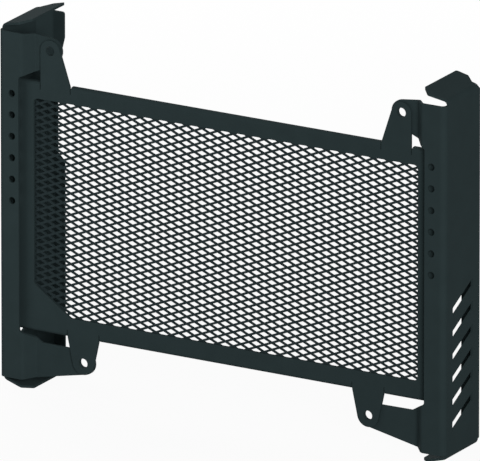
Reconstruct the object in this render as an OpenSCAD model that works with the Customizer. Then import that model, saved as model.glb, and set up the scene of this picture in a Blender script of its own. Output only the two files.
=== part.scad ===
/* [Sheet] */
// Thickness of the folded sheet
sheet_t = 2; // [1:0.5:3]
// Inner radius of the bends along the covers' edges
fold_r = 3; // [2:0.5:5]
// Inner radius of the two bends of a step
step_r = 2; // [1:0.5:3]

/* [Side covers] */
// Distance from the frame's side edge out to a cover's outer face
cover_out = 8; // [2:0.5:10]
// Height of a cover's front flange and side wall
cover_h = 291; // [285:1:320]
// Depth of a side wall before its rear bend starts
wall_d = 55.5; // [50:0.5:70]
// Width of the narrow front strip
strip_w = 18.5; // [17:0.5:19]
// Distance from the outer face to where the front flange steps back
step_start = 19.8; // [19.5:0.1:22]
// Slope of the step between the front flange and the tabs
step_a = 50; // [40:1:60]
// Height of the long notch above the middle
notch_up = 108.4; // [106:0.2:112]
// Depth of the long notch below the middle
notch_down = 104.4; // [102:0.2:110]
// Slanted run at the notch's ends, past the step
notch_ramp_run = 4.4; // [2:0.2:8]
// Rise of the notch's upper end to the upper tab
notch_ramp_up = 6.8; // [3:0.2:10]
// Fall of the notch's lower end to the lower tab
notch_ramp_down = 10.2; // [4:0.2:11]
// Radius of the notch's corners
notch_r = 2.5; // [1:0.5:4]
// How much lower a tab's edge is than the flange's, where it leaves the step
tab_drop = 1.2; // [0.5:0.1:2]

/* [Rear flanges] */
// Turn of each of the two rear bends
rear_a = 45; // [35:1:45]
// Flat length between the two rear bends
slope_l = 11; // [6:0.5:16]
// Flat length of the rear flange after the second bend
rear_l = 9.2; // [7:0.2:14]
// Depth of the relief in the rear flange's free edge
relief_d = 6.5; // [1:0.5:6.5]
// Where the relief starts below and ends above, from the middle
relief_low = 20; // [10:1:40]
// Upper end of the relief, from the middle
relief_high = 124; // [110:1:135]
// Height over which the relief tapers out at its upper end
relief_taper = 26; // [8:1:40]
// Radius of the corners of the rear flange's outline
flange_r = 2; // [0.5:0.5:3]

/* [Top and bottom flaps] */
// Reach of a flap from the cover's outer face
flap_w = 25.2; // [22:0.2:32]
// Slope of a flap
flap_a = 13.5; // [5:0.5:20]
// Where a flap starts behind the front face
flap_front = 6.6; // [6:0.2:9]
// How far back a flap reaches
flap_back = 63; // [60:0.5:66]
// Width of the slanted nose at a flap's front corner
nose_w = 7.2; // [4:0.2:10]
// Length of that nose along the flap's free edge
nose_d = 8.6; // [4:0.2:12]
// How far the nose lies ahead of the flap's front edge at its bend
nose_ahead = 3; // [0:0.2:4]
// Width of the part of a flap that ends early behind
heel_w = 6.5; // [5:0.5:10]
// Size of the cut corner between that part and the flap's back edge
heel_cut = 8; // [4:0.5:10]
// Radius of the corners of a flap's outline
flap_r = 2; // [0.5:0.5:2.5]

/* [Holes and slots] */
// Diameter of the holes in the front strips
strip_hole_d = 6; // [4:0.5:7]
// Distance of those holes from the outer face
strip_hole_in = 12.4; // [11:0.2:13]
// Distance between neighbouring strip holes
strip_hole_pitch = 18; // [14:0.5:20]
// Height of the top strip hole above the middle
strip_hole_top = 94.2; // [80:0.2:98]
// Number of holes in each strip
strip_holes = 6; // [2:1:8]
// Vertical opening of a slot in the side wall
slot_h = 7.6; // [4:0.2:9]
// Distance from the front face to the front end of the slots
slot_front = 13.6; // [12:0.2:20]
// Length of a slot along the wall's depth
slot_run = 32.3; // [24:0.1:36]
// Rise of a slot over that length
slot_rise = 16.5; // [8:0.5:20]
// Vertical distance between neighbouring slots
slot_pitch = 19.1; // [16:0.1:22]
// Depth of the lowest slot's front end below the middle
slot_low = 127.9; // [110:0.1:130]
// Number of slots in each side wall
slots = 6; // [2:1:7]
// Radius of a slot's corners
slot_r = 0.6; // [0.2:0.1:1]

/* [Frame] */
// Width of the frame plate
frame_w = 394; // [360:1:440]
// Height of the frame plate
frame_h = 210; // [204:1:214]
// Border beside the opening
border_side = 20.5; // [12:0.5:40]
// Border above the opening
border_top = 14; // [10:0.5:20]
// Border below the opening
border_bottom = 16; // [10:0.5:20]
// Radius of the opening's corners
opening_r = 4; // [2:0.5:10]
// Width of the lower left corner plate
corner_w = 34; // [20:1:50]
// Height of the lower left corner plate
corner_h = 24; // [15:1:40]
// Distance from the covers' front face to the frame's front face
frame_setback = 7.2; // [5:0.2:9]
// Depth of the frame's folded top and bottom edges
lip_d = 5; // [4:0.5:8]
// Inner radius of those folded edges
lip_r = 1; // [0.5:0.5:2]
// Width of the bend reliefs beside the ears
slit_w = 0.8; // [0.6:0.1:2]
// Depth of the bend reliefs from the plate's edge
slit_d = 6; // [4:0.5:8]

/* [Ears and mounting holes] */
// Diameter of the mounting holes
mount_d = 8; // [6:0.5:9]
// Distance of the upper holes from the covers' outer face
top_hole_in = 43.8; // [42:0.2:48]
// Height of the upper holes above the middle
top_hole_z = 132.5; // [130:0.5:134]
// Radius of the upper ears' ends
top_ear_r = 8.8; // [7:0.1:10]
// Distance of the lower holes from the covers' outer face
low_hole_in = 73.8; // [70:0.2:80]
// Depth of the lower holes below the middle
low_hole_z = 125; // [122:0.5:130]
// Radius of the lower ears' ends
low_ear_r = 9.7; // [8:0.1:11]
// Width of an upper ear at its root
top_root_w = 27; // [22:0.5:32]
// Width of a lower ear at its root
low_root_w = 28.6; // [24:0.2:34]
// Radius of the ends of the covers' tabs
tab_r = 10; // [9:0.1:11]

/* [Mesh] */
// Thickness of the mesh
mesh_t = 1.5; // [1:0.5:2]
// How far the mesh reaches past the opening behind the frame
mesh_lap = 6; // [4:0.5:8]
// Distance between openings along a row
mesh_pitch_x = 40; // [30:1:60]
// Distance between openings up a column
mesh_pitch_z = 16.5; // [12:0.5:25]
// Width of a strand
strand_w = 4; // [2:0.1:5]
// Width of the closed rim around the mesh
mesh_rim = 1.5; // [1:0.5:3]

/* [Hidden] */
$fn = 64;
cut = 1;
arc_steps = 5;
finish = "#2b3436";

opening_w = frame_w - 2 * border_side;
half_w = frame_w / 2 + cover_out;
half_h = cover_h / 2;
fold_out = fold_r + sheet_t;

// The covers' tabs lie flat against the back of the frame's ears
tab_y = frame_setback + sheet_t;

// A step is two equal and opposite bends with a short flat between them
step_reach = 2 * step_r + sheet_t;
step_l = (tab_y - step_reach * (1 - cos(step_a))) / sin(step_a);
step_w = step_l * cos(step_a) + step_reach * sin(step_a);
tab_start = step_start + step_w;

// A flap rises over its bend and then along its slope
flap_flat_w = flap_w - fold_out * (1 - sin(flap_a));
flap_rise = fold_out * cos(flap_a) + flap_flat_w * tan(flap_a);
flap_l = flap_flat_w / cos(flap_a);

// The origin lies under the middle of the whole guard, level with the lower flaps' free edges
rear_turn = 90 - 2 * rear_a;
rear_fold = [fold_out + slope_l * sin(rear_a), wall_d + slope_l * cos(rear_a)];
overall_d = rear_fold.y + rear_l * sin(rear_turn) + fold_out * cos(rear_turn);
placed = [0, -overall_d / 2, half_h + flap_rise];

lip_out = lip_r + sheet_t;
frame_flat = frame_h / 2 - lip_out;
opening_top = frame_h / 2 - border_top;
opening_bottom = border_bottom - frame_h / 2;

top_hole = [half_w - top_hole_in, top_hole_z];
low_hole = [half_w - low_hole_in, -low_hole_z];
top_root = [top_hole.x - top_root_w + top_ear_r, top_hole.x + top_ear_r];
low_root = [low_hole.x - low_root_w / 2, low_hole.x + low_root_w / 2];

function unit(v) = v / norm(v);
function heading(a) = [cos(a), sin(a)];

// The points of an arc of radius r round c, from the angle a to the angle b
function arc(c, r, a, b) = [for (i = [0:arc_steps]) c + r * heading(a + (b - a) * i / arc_steps)];

// The point where a line from p touches the circle of radius r round c, on one side or the other
function tangent(p, c, r, side) =
  let (to_p = p - c, a = atan2(to_p.y, to_p.x) + side * acos(r / norm(to_p)))
  c + r * heading(a);

// The points of the arc that rounds the corner c between its neighbours p and n
function corner_arc(p, c, n, r) = r == 0 ? [c] :
  let (
    u = unit(p - c), v = unit(n - c),
    half = acos(u * v) / 2,
    centre = c + unit(u + v) * r / sin(half),
    from = c + u * r / tan(half) - centre,
    to = c + v * r / tan(half) - centre,
    start = atan2(from.y, from.x),
    turn = atan2(from.x * to.y - from.y * to.x, from * to)
  )
  arc(centre, r, start, start + turn);

// An outline given as [x, y, corner radius] points
function rounded(points) =
  let (n = len(points), at = [for (p = points) [p.x, p.y]])
  [for (i = [0:n - 1]) each corner_arc(at[(i + n - 1) % n], at[i], at[(i + 1) % n], points[i][2])];

// A ring sector of sheet: a bend of inner radius r through a degrees, l long
module bend(r, a, l) {
  rotate_extrude(angle = a) translate([r, 0]) square([sheet_t, l]);
}

// Stands a drawing of x and z up, and gives it depth from y0 to y1
module upright(y0, y1) {
  translate([0, y1, 0]) rotate([90, 0, 0]) linear_extrude(y1 - y0) children();
}

// A round hole along y at a place of x and z
module hole(place, d, y0, y1) {
  translate([place.x, y0, place.y]) rotate([-90, 0, 0]) cylinder(d = d, h = y1 - y0);
}

module both_sides() {
  children();
  mirror([1, 0, 0]) children();
}

// Side cover, drawn with x inwards from its outer face, y back from its front face and z from its middle

// Section of the folded sheet, from the rear flange's free edge round the wall to the end of the tabs
module cover_section() {
  bend_y = step_r + sheet_t;
  far_w = low_hole_in + tab_r + cut;
  wall_end = [fold_out, wall_d];
  front = [fold_out, fold_out];
  step_in = [step_start, bend_y];
  step_out = [tab_start, tab_y - step_r];
  sloping = 180 - rear_a;
  turned = 90 + rear_turn;
  along = rear_l * heading(rear_turn);
  polygon(concat(
    [rear_fold + fold_out * heading(turned) + along],
    arc(rear_fold, fold_out, turned, sloping),
    arc(wall_end, fold_out, sloping, 180),
    arc(front, fold_out, 180, 270),
    arc(step_in, bend_y, 270, 270 + step_a),
    arc(step_out, step_r, 90 + step_a, 90),
    [[far_w, tab_y], [far_w, tab_y + sheet_t]],
    arc(step_out, bend_y, 90, 90 + step_a),
    arc(step_in, step_r, 270 + step_a, 270),
    arc(front, fold_r, 270, 180),
    arc(wall_end, fold_r, 180, sloping),
    arc(rear_fold, fold_r, sloping, turned),
    [rear_fold + fold_r * heading(turned) + along]
  ));
}

// Outline of the front: a wide flange with a tab at both ends and a narrow strip between them
module front_outline() {
  upper = [top_hole_in, top_hole_z];
  lower = [low_hole_in, -low_hole_z];
  tab_low = notch_up + notch_ramp_up;
  tab_top = -notch_down - notch_ramp_down;
  ramp_end = tab_start + notch_ramp_run;
  upper_end = [top_hole_in + tab_r / 2, tab_low];
  upper_shoulder = [tab_start, half_h - tab_drop];
  lower_shoulder = [tab_start, tab_drop - half_h];
  polygon(concat(
    [[0, -half_h - cut], [fold_out, -half_h - cut], [fold_out, -half_h]],
    [[step_start, -half_h], lower_shoulder],
    [tangent(lower_shoulder, lower, tab_r, 1), tangent([ramp_end, tab_top], lower, tab_r, -1)],
    [[ramp_end, tab_top]],
    corner_arc([ramp_end, tab_top], [strip_w, -notch_down], [strip_w, 0], notch_r),
    corner_arc([strip_w, 0], [strip_w, notch_up], [ramp_end, tab_low], notch_r),
    [[ramp_end, tab_low], upper_end],
    [tangent(upper_end, upper, tab_r, 1), tangent(upper_shoulder, upper, tab_r, -1)],
    [upper_shoulder, [step_start, half_h], [fold_out, half_h], [fold_out, half_h + cut], [0, half_h + cut]]
  ));
  translate(upper) circle(r = tab_r);
  translate(lower) circle(r = tab_r);
}

// What is cut from the front of the folded sheet
module front_waste() {
  difference() {
    translate([fold_out, -half_h - cut]) square([low_hole_in + tab_r + 2 * cut, cover_h + 2 * cut]);
    front_outline();
  }
}

// A slanted slot with upright ends, cut through the side wall
module slot(z) {
  translate([-cut, 0, z]) rotate([90, 0, 90]) linear_extrude(sheet_t + 2 * cut) polygon(rounded([
    [slot_front, 0, slot_r],
    [slot_front + slot_run, slot_rise, slot_r],
    [slot_front + slot_run, slot_rise + slot_h, slot_r],
    [slot_front, slot_h, slot_r]
  ]));
}

// What is cut from the rear flange's free edge, drawn with x along the flange and y up
module rear_waste() {
  relief_l = rear_l - relief_d;
  difference() {
    translate([relief_l / 2, -half_h - cut]) square([rear_l, cover_h + 2 * cut]);
    polygon(rounded([
      [0, -half_h, 0],
      [rear_l, -half_h, flange_r],
      [rear_l, relief_low, flange_r],
      [relief_l, relief_low + relief_d, flange_r],
      [relief_l, relief_high - relief_taper, flange_r],
      [rear_l, relief_high, flange_r],
      [rear_l, half_h, flange_r],
      [0, half_h, 0]
    ]));
  }
}

module folded_sheet() {
  difference() {
    translate([0, 0, -half_h]) linear_extrude(cover_h) cover_section();
    upright(-cut, tab_y + sheet_t + cut) front_waste();
    translate(rear_fold) rotate([0, 0, rear_turn])
      upright(fold_r - cut, fold_out + cut) rear_waste();
    for (i = [0:strip_holes - 1])
      hole([strip_hole_in, strip_hole_top - i * strip_hole_pitch], strip_hole_d, -cut, sheet_t + cut);
    for (place = [[top_hole_in, top_hole_z], [low_hole_in, -low_hole_z]])
      hole(place, mount_d, tab_y - cut, tab_y + sheet_t + cut);
    for (i = [0:slots - 1]) slot(i * slot_pitch - slot_low);
  }
}

// Outline of a flap seen from above: a blunt nose in front and a cut corner behind
module flap_outline() {
  polygon(rounded([
    [-cut, flap_front, 0],
    [0, flap_front, 0],
    [flap_w - nose_w, flap_front - nose_ahead, flap_r],
    [flap_w, flap_front - nose_ahead + nose_d, flap_r],
    [flap_w, flap_back, flap_r],
    [heel_w + heel_cut, flap_back, flap_r],
    [heel_w, flap_back - heel_cut, 0],
    [-cut, flap_back - heel_cut, 0]
  ]));
}

// Section of a flap, drawn with x inwards and y up from the wall's top edge
module flap_section() {
  centre = [fold_out, 0];
  along = (flap_l + cut) * heading(flap_a);
  polygon(concat(
    arc(centre, fold_out, 180, 90 + flap_a),
    [centre + fold_out * heading(90 + flap_a) + along, centre + fold_r * heading(90 + flap_a) + along],
    arc(centre, fold_r, 90 + flap_a, 180)
  ));
}

module flap() {
  translate([0, 0, half_h]) intersection() {
    translate([0, flap_back + cut, 0]) rotate([90, 0, 0]) linear_extrude(flap_back + cut) flap_section();
    linear_extrude(flap_rise + cut) flap_outline();
  }
}

module side_cover() {
  folded_sheet();
  flap();
  mirror([0, 0, 1]) flap();
}

module left_side_cover() {
  color(finish) translate(placed) translate([-half_w, 0, 0]) side_cover();
}

module right_side_cover() {
  color(finish) translate(placed) mirror([1, 0, 0]) translate([-half_w, 0, 0]) side_cover();
}

// Frame, drawn with x from the middle, y from the covers' front face and z from the middle

// An ear on the plate: a round end joined by straight sides to a root between two reliefs
module ear_outline(centre, r, root, edge) {
  base = edge - sign(edge) * slit_d;
  side = sign(edge);
  upright_side = abs(root[1] - centre.x - r) < 0.01;
  outer = upright_side ? [root[1], centre.y] : tangent([root[1], edge], centre, r, side);
  translate(centre) circle(r = r);
  polygon([
    [root[0], base],
    [root[0], edge],
    tangent([root[0], edge], centre, r, -side),
    outer,
    [root[1], edge],
    [root[1], base]
  ]);
}

module slit_outline(root, edge) {
  for (x = [root[0] - slit_w, root[1]])
    translate([x, edge > 0 ? edge - slit_d : edge - cut]) square([slit_w, slit_d + cut]);
}

module opening_outline() {
  polygon(rounded([
    [-opening_w / 2, opening_top, opening_r],
    [opening_w / 2, opening_top, opening_r],
    [opening_w / 2, opening_bottom, opening_r],
    [corner_w - opening_w / 2, opening_bottom, opening_r],
    [-opening_w / 2, opening_bottom + corner_h, opening_r]
  ]));
}

module plate_outline() {
  difference() {
    union() {
      square([frame_w, 2 * frame_flat], center = true);
      both_sides() {
        ear_outline(top_hole, top_ear_r, top_root, frame_h / 2);
        ear_outline(low_hole, low_ear_r, low_root, -frame_h / 2);
      }
    }
    opening_outline();
    both_sides() {
      slit_outline(top_root, frame_h / 2);
      slit_outline(low_root, -frame_h / 2);
    }
  }
}

// A stretch of the folded upper edge from x0 to x1
module lip(x0, x1) {
  translate([x0, frame_setback + lip_out, frame_flat]) rotate([90, 0, 90]) {
    rotate([0, 0, 90]) bend(lip_r, 90, x1 - x0);
    translate([0, lip_r, 0]) cube([lip_d - lip_out, sheet_t, x1 - x0]);
  }
}

// The folded edge stops at the reliefs beside the ears
module lips(root) {
  lip(slit_w - root[0], root[0] - slit_w);
  both_sides() lip(root[1] + slit_w, frame_w / 2);
}

module frame_plate() {
  color(finish) translate(placed) {
    difference() {
      upright(frame_setback, tab_y) plate_outline();
      both_sides() for (place = [top_hole, low_hole]) hole(place, mount_d, frame_setback - cut, tab_y + cut);
    }
    lips(top_root);
    mirror([0, 0, 1]) lips(low_root);
  }
}

// Mesh, a flat sheet of slit and drawn metal behind the frame's opening

module diamond() {
  across = mesh_pitch_x / 2;
  up = mesh_pitch_z / 2;
  inset = 1 - strand_w / 2 * norm([across, up]) / (across * up);
  polygon([[across * inset, 0], [0, up * inset], [-across * inset, 0], [0, -up * inset]]);
}

module mesh() {
  size = [opening_w + 2 * mesh_lap, opening_top - opening_bottom + 2 * mesh_lap];
  window = size - [2 * mesh_rim, 2 * mesh_rim];
  columns = ceil(size.x / mesh_pitch_x / 2);
  rows = ceil(size.y / mesh_pitch_z);
  color(finish) translate(placed) translate([0, tab_y, (opening_top + opening_bottom) / 2]) difference() {
    translate([-size.x / 2, 0, -size.y / 2]) cube([size.x, mesh_t, size.y]);
    intersection() {
      translate([-window.x / 2, -cut, -window.y / 2]) cube([window.x, mesh_t + 2 * cut, window.y]);
      for (row = [-rows:rows], column = [-columns:columns])
        translate([(column + (row % 2 == 0 ? 0 : 0.5)) * mesh_pitch_x, mesh_t + cut, row * mesh_pitch_z / 2])
          rotate([90, 0, 0]) linear_extrude(mesh_t + 2 * cut) diamond();
    }
  }
}

frame_plate();
mesh();
left_side_cover();
right_side_cover();
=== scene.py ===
"""Looks for the radiator guard: powder-coated folded sheet, slit and drawn mesh, pale studio."""

import math

import bpy
from mathutils import Matrix, Vector


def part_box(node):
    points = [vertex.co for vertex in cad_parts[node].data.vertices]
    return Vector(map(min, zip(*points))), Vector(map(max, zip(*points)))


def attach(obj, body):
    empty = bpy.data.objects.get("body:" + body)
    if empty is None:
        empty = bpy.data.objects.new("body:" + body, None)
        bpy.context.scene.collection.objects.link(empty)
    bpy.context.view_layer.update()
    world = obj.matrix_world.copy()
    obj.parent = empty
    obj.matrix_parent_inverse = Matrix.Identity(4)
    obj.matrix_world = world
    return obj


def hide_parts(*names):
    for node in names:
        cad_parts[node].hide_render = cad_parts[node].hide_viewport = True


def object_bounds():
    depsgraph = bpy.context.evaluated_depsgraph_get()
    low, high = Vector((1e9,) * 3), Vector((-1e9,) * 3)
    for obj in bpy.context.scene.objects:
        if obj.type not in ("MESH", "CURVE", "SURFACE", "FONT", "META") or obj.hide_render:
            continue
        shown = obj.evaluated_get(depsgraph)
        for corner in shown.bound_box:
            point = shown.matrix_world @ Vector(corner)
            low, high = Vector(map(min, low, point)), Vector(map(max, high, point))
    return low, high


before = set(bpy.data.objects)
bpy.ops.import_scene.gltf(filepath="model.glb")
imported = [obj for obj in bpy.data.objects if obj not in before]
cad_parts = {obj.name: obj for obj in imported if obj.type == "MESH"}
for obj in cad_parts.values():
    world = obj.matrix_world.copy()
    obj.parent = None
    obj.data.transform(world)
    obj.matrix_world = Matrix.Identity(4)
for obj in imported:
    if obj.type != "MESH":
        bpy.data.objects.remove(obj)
cad_low, cad_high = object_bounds()
guard_middle = (cad_low + cad_high) / 2

# Expanded metal, in metres: openings along a row and up a column, strand and sheet
PITCH_X = 0.01427
PITCH_Z = 0.00593
STRAND = 0.00176
SHEET = 0.0010
# How far an opening's upper corner turns to the back, and its lower one to the front
TWIST = 0.00025
# Where the middle of one opening lies from the middle of the sheet, in x and z
PHASE_X, PHASE_Z = -0.0011, -0.0006
# Rows and columns laid past the sheet's edges, for the cut to take off
SPARE = 3
# Points of neighbouring strands that lie nearer than this are one
WELD = STRAND / 20

# Powder coat: linear colours of the folded sheet and of the mesh, and the gloss
COAT_COLOUR = (0.0205, 0.0315, 0.0330)
MESH_COAT_COLOUR = (0.018, 0.027, 0.029)
ROUGHNESS = 0.55
SPECULAR_LEVEL = 0.005
# Its clouds, in noise cells per metre, and the spread that they give the colour and the roughness
CLOUD_SCALE = 60
COLOUR_SPREAD = 0.1
ROUGHNESS_SPREAD = 0.08
# Its orange peel, in noise cells per metre, with the height in metres
PEEL_SCALE = 900
PEEL_HEIGHT = 0.0004
PEEL_STRENGTH = 0.12
NOISE_DETAIL = 2

# Studio, in metres: the floor's shadow fades to plain white between two distances
WHITE = (1, 1, 1, 1)
FLOOR_GREY = (0.4, 0.4, 0.4, 1)
FLOOR_RADIUS = 2.4
FADE_START, FADE_END = 0.3, 1.2
WHITE_AT_GUARD = 0.95
AIR_STRENGTH = 0.28

# The photographed view is parallel: a far camera with a long lens stands in for it
IMAGE_W, IMAGE_H = 480, 461
METRES_PER_PIXEL = 0.000796
AZIMUTH = math.radians(30)
ELEVATION = math.radians(18)
LENS_MM = 1600
SENSOR_MM = 36
# Where the middle of the covers' front plane shows in the photograph
FRONT_MIDDLE_PIXEL = (220.3, 242.85)


# Materials


class Value:
    """A shader socket in Python sums: each operator adds the Math node that it names."""

    def __init__(self, finish, socket):
        self.finish = finish
        self.socket = socket

    def _math(self, operation, first, second):
        return self.finish.node("ShaderNodeMath", {"operation": operation}, {0: first, 1: second})

    def __add__(self, other):
        return self._math("ADD", self, other)

    def __radd__(self, other):
        return self._math("ADD", other, self)

    def __sub__(self, other):
        return self._math("SUBTRACT", self, other)

    def __rsub__(self, other):
        return self._math("SUBTRACT", other, self)

    def __mul__(self, other):
        return self._math("MULTIPLY", self, other)

    def __rmul__(self, other):
        return self._math("MULTIPLY", other, self)


class Finish:
    """The nodes of a material or a world, and the one way in which they are added."""

    def __init__(self, name, holder=None):
        self.holder = holder or bpy.data.materials.new(name)
        self.holder.use_nodes = True
        self.tree = self.holder.node_tree
        self.tree.nodes.clear()

    def node(self, kind, settings=None, inputs=None, output=0):
        made = self.tree.nodes.new(kind)
        for name, value in (settings or {}).items():
            setattr(made, name, value)
        for key, value in (inputs or {}).items():
            if isinstance(value, Value):
                self.tree.links.new(value.socket, made.inputs[key])
            else:
                made.inputs[key].default_value = value
        return Value(self, made.outputs[output]) if made.outputs else None

    def surface(self, shader, output="ShaderNodeOutputMaterial"):
        self.node(output, inputs={"Surface": shader})
        return self.holder

    def looked_at(self):
        """1 for what the camera, a gloss or a clear piece shows, 0 for what only gives light."""
        camera, glossy, through = (
            self.node("ShaderNodeLightPath", output=f"Is {ray} Ray")
            for ray in ("Camera", "Glossy", "Transmission")
        )
        shown = camera + glossy + through
        return self.node("ShaderNodeMath", {"operation": "MINIMUM"}, {0: shown, 1: 1})


def powder_coat(name, colour):
    """Baked satin powder: a fine orange peel, and faint clouds in the colour and the gloss."""
    finish = Finish(name)
    place = finish.node("ShaderNodeTexCoord", output="Object")
    peel, cloud = (
        finish.node(
            "ShaderNodeTexNoise", inputs={"Vector": place, "Scale": scale, "Detail": NOISE_DETAIL}
        )
        for scale in (PEEL_SCALE, CLOUD_SCALE)
    )
    normal = finish.node(
        "ShaderNodeBump",
        inputs={"Height": peel, "Strength": PEEL_STRENGTH, "Distance": PEEL_HEIGHT},
    )
    dark = [part * (1 - COLOUR_SPREAD) for part in colour] + [1]
    light = [part * (1 + COLOUR_SPREAD) for part in colour] + [1]
    tone = finish.node(
        "ShaderNodeMix",
        {"data_type": "RGBA"},
        {"Factor": cloud, "A": dark, "B": light},
        output="Result",
    )
    coat = finish.node(
        "ShaderNodeBsdfPrincipled",
        inputs={
            "Base Color": tone,
            "Roughness": ROUGHNESS + ROUGHNESS_SPREAD * (cloud - 0.5),
            "Specular IOR Level": SPECULAR_LEVEL,
            "Normal": normal,
        },
    )
    return finish.surface(coat)


def studio_floor():
    """A pale floor that keeps a soft shadow near the guard and fades to plain white further out."""
    finish = Finish("studio_floor")
    place = finish.node("ShaderNodeTexCoord", output="Object")
    distance = finish.node(
        "ShaderNodeVectorMath", {"operation": "LENGTH"}, {0: place}, output="Value"
    )
    fade = finish.node(
        "ShaderNodeMapRange",
        inputs={
            "Value": distance,
            "From Min": FADE_START,
            "From Max": FADE_END,
            "To Min": WHITE_AT_GUARD,
            "To Max": 1,
        },
    )
    white = finish.node("ShaderNodeEmission", inputs={"Color": WHITE, "Strength": 1})
    matt = finish.node("ShaderNodeBsdfDiffuse", inputs={"Color": FLOOR_GREY})
    whiteness = finish.looked_at() * fade
    return finish.surface(
        finish.node("ShaderNodeMixShader", inputs={0: whiteness, 1: matt, 2: white})
    )


# Modelling helpers


def deselect():
    for other in bpy.context.selected_objects:
        other.select_set(False)


def settle(piece):
    """Puts a piece's place into its mesh, so that its object is at the origin like a CAD node's."""
    deselect()
    piece.select_set(True)
    bpy.context.view_layer.objects.active = piece
    bpy.ops.object.transform_apply(location=True, rotation=True, scale=True)


def modify(piece, kind, **settings):
    """Adds a modifier to a piece and applies it."""
    bpy.context.view_layer.objects.active = piece
    modifier = piece.modifiers.new(kind.lower(), kind)
    for name, value in settings.items():
        setattr(modifier, name, value)
    bpy.ops.object.modifier_apply(modifier=modifier.name)


def pick(piece, wanted):
    """Selects, in edit mode, the vertices whose place the test wants."""
    bpy.ops.mesh.select_all(action="DESELECT")
    bpy.ops.object.mode_set(mode="OBJECT")
    for vertex in piece.data.vertices:
        vertex.select = wanted(vertex.co)
    bpy.ops.object.mode_set(mode="EDIT")


def trim(low, high):
    """Cuts the mesh in edit mode back to the box of two corners, in x and z, and closes the cuts."""
    for axis in (0, 2):
        for place, outwards in ((low, -1), (high, 1)):
            normal = [0, 0, 0]
            normal[axis] = outwards
            bpy.ops.mesh.select_all(action="SELECT")
            bpy.ops.mesh.bisect(
                plane_co=place, plane_no=normal, use_fill=True, clear_outer=True
            )


# Slit and drawn mesh


def expanded_mesh():
    """One diamond's rim, turned a little at two corners, laid in staggered rows and cut to size."""
    low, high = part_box("mesh")
    middle = (low + high) / 2
    deselect()
    bpy.ops.mesh.primitive_circle_add(
        vertices=4, radius=0.5, fill_type="NGON", rotation=(math.pi / 2, 0, 0)
    )
    piece = bpy.context.object
    piece.name = "expanded_mesh"
    piece.scale = (PITCH_X, PITCH_Z, 1)
    settle(piece)

    # The rim is half a strand wide, and its opening's upper and lower corners turn
    bpy.ops.object.mode_set(mode="EDIT")
    bpy.ops.mesh.select_mode(type="VERT")
    bpy.ops.mesh.select_all(action="SELECT")
    bpy.ops.mesh.inset(thickness=STRAND / 2, use_even_offset=True)
    bpy.ops.mesh.delete(type="ONLY_FACE")
    near = STRAND / 4
    for side in (-1, 1):
        pick(piece, lambda co: abs(co.x) < near and 0 < co.z * side < PITCH_Z / 2 - near)
        bpy.ops.transform.translate(value=(0, side * TWIST, 0))

    # The staggered row
    bpy.ops.mesh.select_all(action="SELECT")
    bpy.ops.mesh.duplicate()
    bpy.ops.transform.translate(value=(PITCH_X / 2, 0, PITCH_Z / 2))
    bpy.ops.object.mode_set(mode="OBJECT")

    columns = math.ceil((high.x - low.x) / PITCH_X) + SPARE
    rows = math.ceil((high.z - low.z) / PITCH_Z) + SPARE
    steps = {"use_relative_offset": False, "use_constant_offset": True}
    modify(piece, "ARRAY", count=columns, constant_offset_displace=(PITCH_X, 0, 0), **steps)
    modify(piece, "ARRAY", count=rows, constant_offset_displace=(0, 0, PITCH_Z), **steps)
    first = Vector((PHASE_X - columns // 2 * PITCH_X, 0, PHASE_Z - rows // 2 * PITCH_Z))
    piece.location = middle + first
    settle(piece)

    bpy.ops.object.mode_set(mode="EDIT")
    bpy.ops.mesh.select_all(action="SELECT")
    bpy.ops.mesh.remove_doubles(threshold=WELD)
    bpy.ops.object.mode_set(mode="OBJECT")
    modify(piece, "SOLIDIFY", thickness=SHEET, offset=0)
    bpy.ops.object.mode_set(mode="EDIT")
    trim(low, high)
    bpy.ops.mesh.select_all(action="SELECT")
    bpy.ops.mesh.normals_make_consistent(inside=False)
    bpy.ops.object.mode_set(mode="OBJECT")
    return piece


# The guard

coat = powder_coat("satin_powder_coat", COAT_COLOUR)
mesh_coat = powder_coat("mesh_powder_coat", MESH_COAT_COLOUR)

for name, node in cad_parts.items():
    node.data.materials.clear()
    node.data.materials.append(mesh_coat if name == "mesh" else coat)

grille = expanded_mesh()
grille.data.materials.append(mesh_coat)
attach(grille, "root")
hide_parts("mesh")

# Studio

deselect()
bpy.ops.mesh.primitive_circle_add(vertices=64, radius=FLOOR_RADIUS, fill_type="NGON")
floor = bpy.context.object
floor.name = "floor"
floor.data.materials.append(studio_floor())

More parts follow.
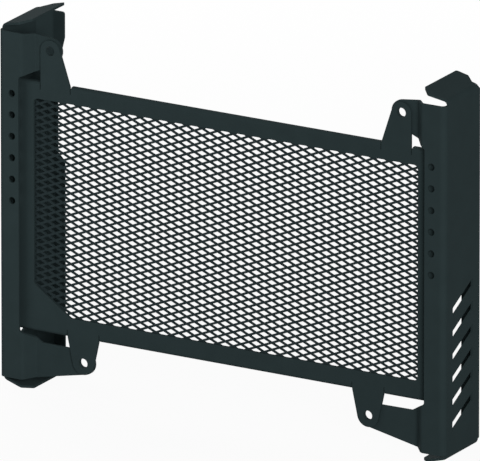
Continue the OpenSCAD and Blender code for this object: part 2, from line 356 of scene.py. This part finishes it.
air = Finish("studio_air", bpy.data.worlds.new("studio_air"))
bpy.context.scene.world = air.holder
dim = air.node("ShaderNodeBackground", inputs={"Color": WHITE, "Strength": AIR_STRENGTH})
white = air.node("ShaderNodeBackground", inputs={"Color": WHITE, "Strength": 1})
backdrop = air.node("ShaderNodeMixShader", inputs={0: air.looked_at(), 1: dim, 2: white})
air.surface(backdrop, "ShaderNodeOutputWorld")


def soft_light(name, azimuth, elevation, distance, size, watts):
    """An area light at an azimuth and an elevation from the guard, where 0, 0 is straight ahead."""
    turn, lift = math.radians(azimuth), math.radians(elevation)
    level = math.cos(lift)
    away = Vector((math.sin(turn) * level, -math.cos(turn) * level, math.sin(lift)))
    bpy.ops.object.light_add(type="AREA", location=guard_middle + distance * away)
    lamp = bpy.context.object
    lamp.name = name
    lamp.rotation_euler = (-away).to_track_quat("-Z", "Y").to_euler()
    lamp.data.shape = "RECTANGLE"
    lamp.data.size, lamp.data.size_y = size
    lamp.data.energy = watts


soft_light("key_light", azimuth=43, elevation=18, distance=4, size=(1.2, 1.2), watts=130)
soft_light("fill_light", azimuth=-50, elevation=0, distance=0.45, size=(0.2, 0.8), watts=0.75)
soft_light("rear_light", azimuth=242, elevation=34, distance=3, size=(1.2, 1.2), watts=38)

# Camera

back = Vector(
    (
        math.sin(AZIMUTH) * math.cos(ELEVATION),
        -math.cos(AZIMUTH) * math.cos(ELEVATION),
        math.sin(ELEVATION),
    )
)
right = Vector((math.cos(AZIMUTH), math.sin(AZIMUTH), 0))
up = back.cross(right)
front_middle = Vector((0, cad_low.y, (cad_low.z + cad_high.z) / 2))
aside = (IMAGE_W / 2 - FRONT_MIDDLE_PIXEL[0]) * METRES_PER_PIXEL
above = (FRONT_MIDDLE_PIXEL[1] - IMAGE_H / 2) * METRES_PER_PIXEL
distance = IMAGE_W * METRES_PER_PIXEL * LENS_MM / SENSOR_MM

bpy.ops.object.camera_add()
camera = bpy.context.object
camera.data.lens = LENS_MM
camera.data.sensor_width = SENSOR_MM
camera.data.clip_end = 2 * distance
camera.location = front_middle + aside * right + above * up + distance * back
camera.rotation_euler = Matrix((right, up, back)).transposed().to_euler()
bpy.context.scene.camera = camera
bpy.context.scene.view_settings.view_transform = "Standard"
